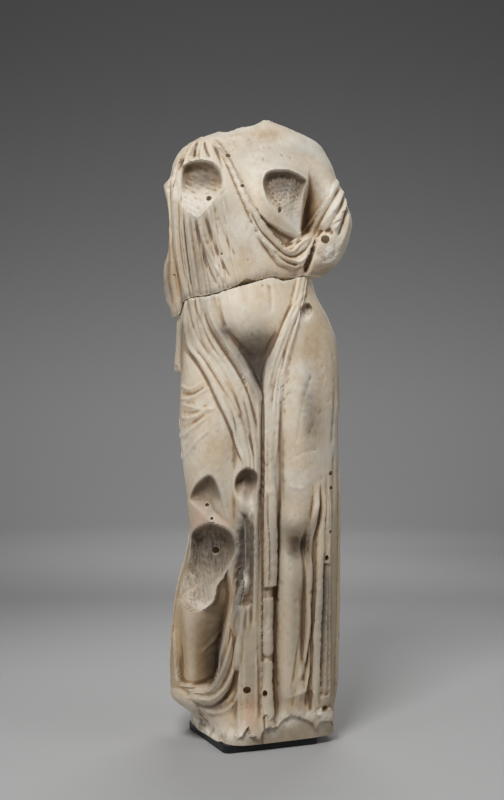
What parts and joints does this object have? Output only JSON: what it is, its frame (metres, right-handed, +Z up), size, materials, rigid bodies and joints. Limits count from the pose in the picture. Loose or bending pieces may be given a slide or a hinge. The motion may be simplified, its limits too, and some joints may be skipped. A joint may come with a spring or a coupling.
{
  "type": "draped figure statue",
  "caption": "Headless, armless standing draped marble figure in two fragments that meet at an irregular break at the waist, on a low rectangular metal base plate.",
  "frame": {"origin": "centre of the base plate's underside", "axes": "+Z up along the figure, -Y is the way the figure's front faces, +X is to the right of someone looking at its front"},
  "size_m": [0.4398, 0.3617, 1.4669],
  "materials": {
    "marble": "satin",
    "plate_metal": "satin"
  },
  "bodies": {
    "root": {"upper_torso": "marble", "draped_lower_body": "marble", "base_plate": "plate_metal"}
  },
  "joints": []
}
